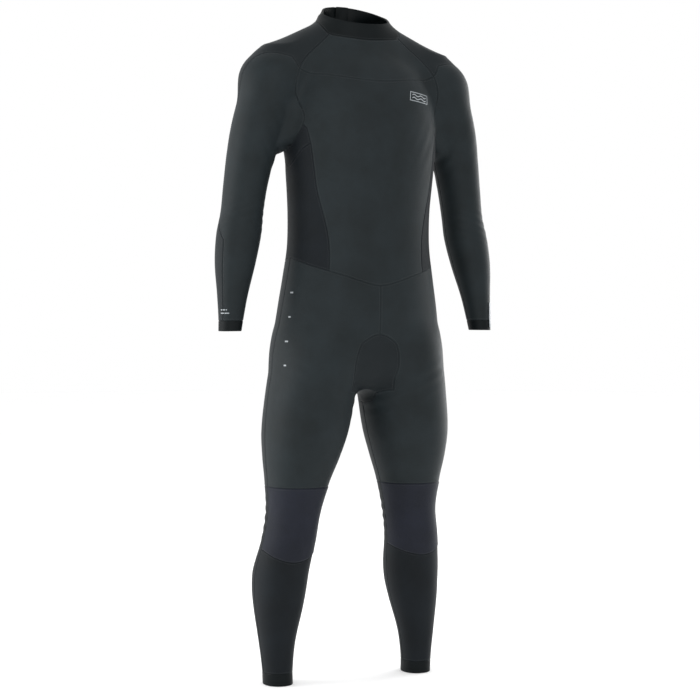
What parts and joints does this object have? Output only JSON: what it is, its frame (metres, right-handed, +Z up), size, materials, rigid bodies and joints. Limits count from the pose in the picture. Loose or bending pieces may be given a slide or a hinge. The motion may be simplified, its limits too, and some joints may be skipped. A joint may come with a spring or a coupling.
{
  "type": "full wetsuit",
  "caption": "Full-length back-zip wetsuit shaped as worn: seamed neoprene panels with long sleeves and legs, stand collar and knee pads, flexing at shoulders, elbows, hips and knees.",
  "frame": {"origin": "middle of the neck base, between the two shoulders, where the suit hangs", "axes": "+Z up, the front of the suit faces -Y, the wearer's left is +X"},
  "size_m": [0.6514, 0.2553, 1.492],
  "materials": {
    "jersey": "matte nylon jersey on neoprene",
    "jersey_side": "matte nylon jersey on neoprene",
    "knee_pad": "matte abrasion-resistant knit",
    "smooth_skin": "satin smooth-skin neoprene",
    "zip_tape": "woven tape",
    "zip_chain": "moulded",
    "zip_metal": "dark plated",
    "print": "printed film",
    "wrist_tab": "silvery woven tape"
  },
  "bodies": {
    "trunk": {"collar_band": "smooth_skin", "chest_yoke": "jersey", "front_torso_panel": "jersey", "lumbar_panel": "jersey_side", "crotch_gusset": "jersey_side", "side_panel_left": "jersey_side", "side_panel_right": "jersey_side", "underarm_gusset_left": "jersey_side", "underarm_gusset_right": "jersey_side", "back_panel_left": "jersey_side", "back_panel_right": "jersey_side", "shoulder_panel_left": "jersey", "shoulder_panel_right": "jersey", "front_hip_panel_left": "jersey", "front_hip_panel_right": "jersey", "seat_panel_left": "jersey_side", "seat_panel_right": "jersey_side", "shoulder_band_left": "jersey", "shoulder_band_right": "jersey", "hip_band_left": "jersey", "hip_band_right": "jersey", "zip_tape_left": "zip_tape", "zip_tape_right": "zip_tape", "zip_chain": "zip_chain", "zip_bottom_stop": "zip_metal", "zip_backing_flap": "smooth_skin", "collar_loop_patch": "zip_tape", "chest_print": "print", "hip_print": "print"},
    "upper_arm_left": {"upper_sleeve_front_left": "jersey", "upper_sleeve_back_left": "jersey_side", "elbow_band_left": "jersey"},
    "forearm_left": {"forearm_front_left": "jersey", "forearm_back_left": "jersey_side", "wrist_cuff_left": "smooth_skin", "wrist_tab": "wrist_tab"},
    "thigh_left": {"thigh_front_left": "jersey", "thigh_back_left": "jersey_side", "knee_pad_left": "knee_pad", "knee_back_left": "jersey_side"},
    "lower_leg_left": {"shin_panel_left": "jersey", "calf_panel_left": "jersey_side", "ankle_cuff_left": "smooth_skin"},
    "upper_arm_right": {"upper_sleeve_front_right": "jersey", "upper_sleeve_back_right": "jersey_side", "elbow_band_right": "jersey"},
    "forearm_right": {"forearm_front_right": "jersey", "forearm_back_right": "jersey_side", "wrist_cuff_right": "smooth_skin", "wrist_print": "print"},
    "thigh_right": {"thigh_front_right": "jersey", "thigh_back_right": "jersey_side", "knee_pad_right": "knee_pad", "knee_back_right": "jersey_side"},
    "lower_leg_right": {"shin_panel_right": "jersey", "calf_panel_right": "jersey_side", "ankle_cuff_right": "smooth_skin"},
    "slider": {"zip_slider": "zip_metal"},
    "pull": {"zip_pull_tab": "zip_metal"},
    "neck_tab": {"collar_tab": "smooth_skin"}
  },
  "joints": [
    {"name": "shoulder_left", "type": "hinge", "parent": "trunk", "child": "upper_arm_left", "pos_m": [0.205, -0.004, -0.125], "axis": [0, -1, 0], "range_deg": [0, 50], "stiffness_Nm_per_rad": 3, "deforming": ["shoulder_band_left"]},
    {"name": "elbow_left", "type": "hinge", "parent": "upper_arm_left", "child": "forearm_left", "pos_m": [0.265, -0.003, -0.383], "axis": [-1, 0, 0], "range_deg": [0, 95], "stiffness_Nm_per_rad": 1.5, "deforming": ["elbow_band_left"]},
    {"name": "hip_left", "type": "hinge", "parent": "trunk", "child": "thigh_left", "pos_m": [0.105, -0.008, -0.79], "axis": [-1, 0, 0], "range_deg": [0, 60], "stiffness_Nm_per_rad": 6, "deforming": ["hip_band_left"]},
    {"name": "knee_left", "type": "hinge", "parent": "thigh_left", "child": "lower_leg_left", "pos_m": [0.142, 0.017, -1.046], "axis": [1, 0, 0], "range_deg": [0, 85], "stiffness_Nm_per_rad": 3, "deforming": ["knee_pad_left", "knee_back_left"]},
    {"name": "shoulder_right", "type": "hinge", "parent": "trunk", "child": "upper_arm_right", "pos_m": [-0.205, -0.004, -0.125], "axis": [0, 1, 0], "range_deg": [0, 50], "stiffness_Nm_per_rad": 3, "deforming": ["shoulder_band_right"]},
    {"name": "elbow_right", "type": "hinge", "parent": "upper_arm_right", "child": "forearm_right", "pos_m": [-0.265, -0.003, -0.383], "axis": [-1, 0, 0], "range_deg": [0, 95], "stiffness_Nm_per_rad": 1.5, "deforming": ["elbow_band_right"]},
    {"name": "hip_right", "type": "hinge", "parent": "trunk", "child": "thigh_right", "pos_m": [-0.105, -0.008, -0.79], "axis": [-1, 0, 0], "range_deg": [0, 60], "stiffness_Nm_per_rad": 6, "deforming": ["hip_band_right"]},
    {"name": "knee_right", "type": "hinge", "parent": "thigh_right", "child": "lower_leg_right", "pos_m": [-0.142, 0.017, -1.046], "axis": [1, 0, 0], "range_deg": [0, 85], "stiffness_Nm_per_rad": 3, "deforming": ["knee_pad_right", "knee_back_right"]},
    {"name": "zip_slide", "type": "slide", "parent": "trunk", "child": "slider", "axis": [0, 0.028, -0.9996], "range_m": [0, 0.455]},
    {"name": "pull_swing", "type": "hinge", "parent": "slider", "child": "pull", "pos_m": [0, 0.08176, 0.03008], "axis": [1, 0, 0], "range_deg": [0, 150]},
    {"name": "collar_tab_fold", "type": "hinge", "parent": "trunk", "child": "neck_tab", "pos_m": [0.0429, 0.0652, 0.068], "axis": [0, 0, -1], "range_deg": [0, 100]}
  ]
}
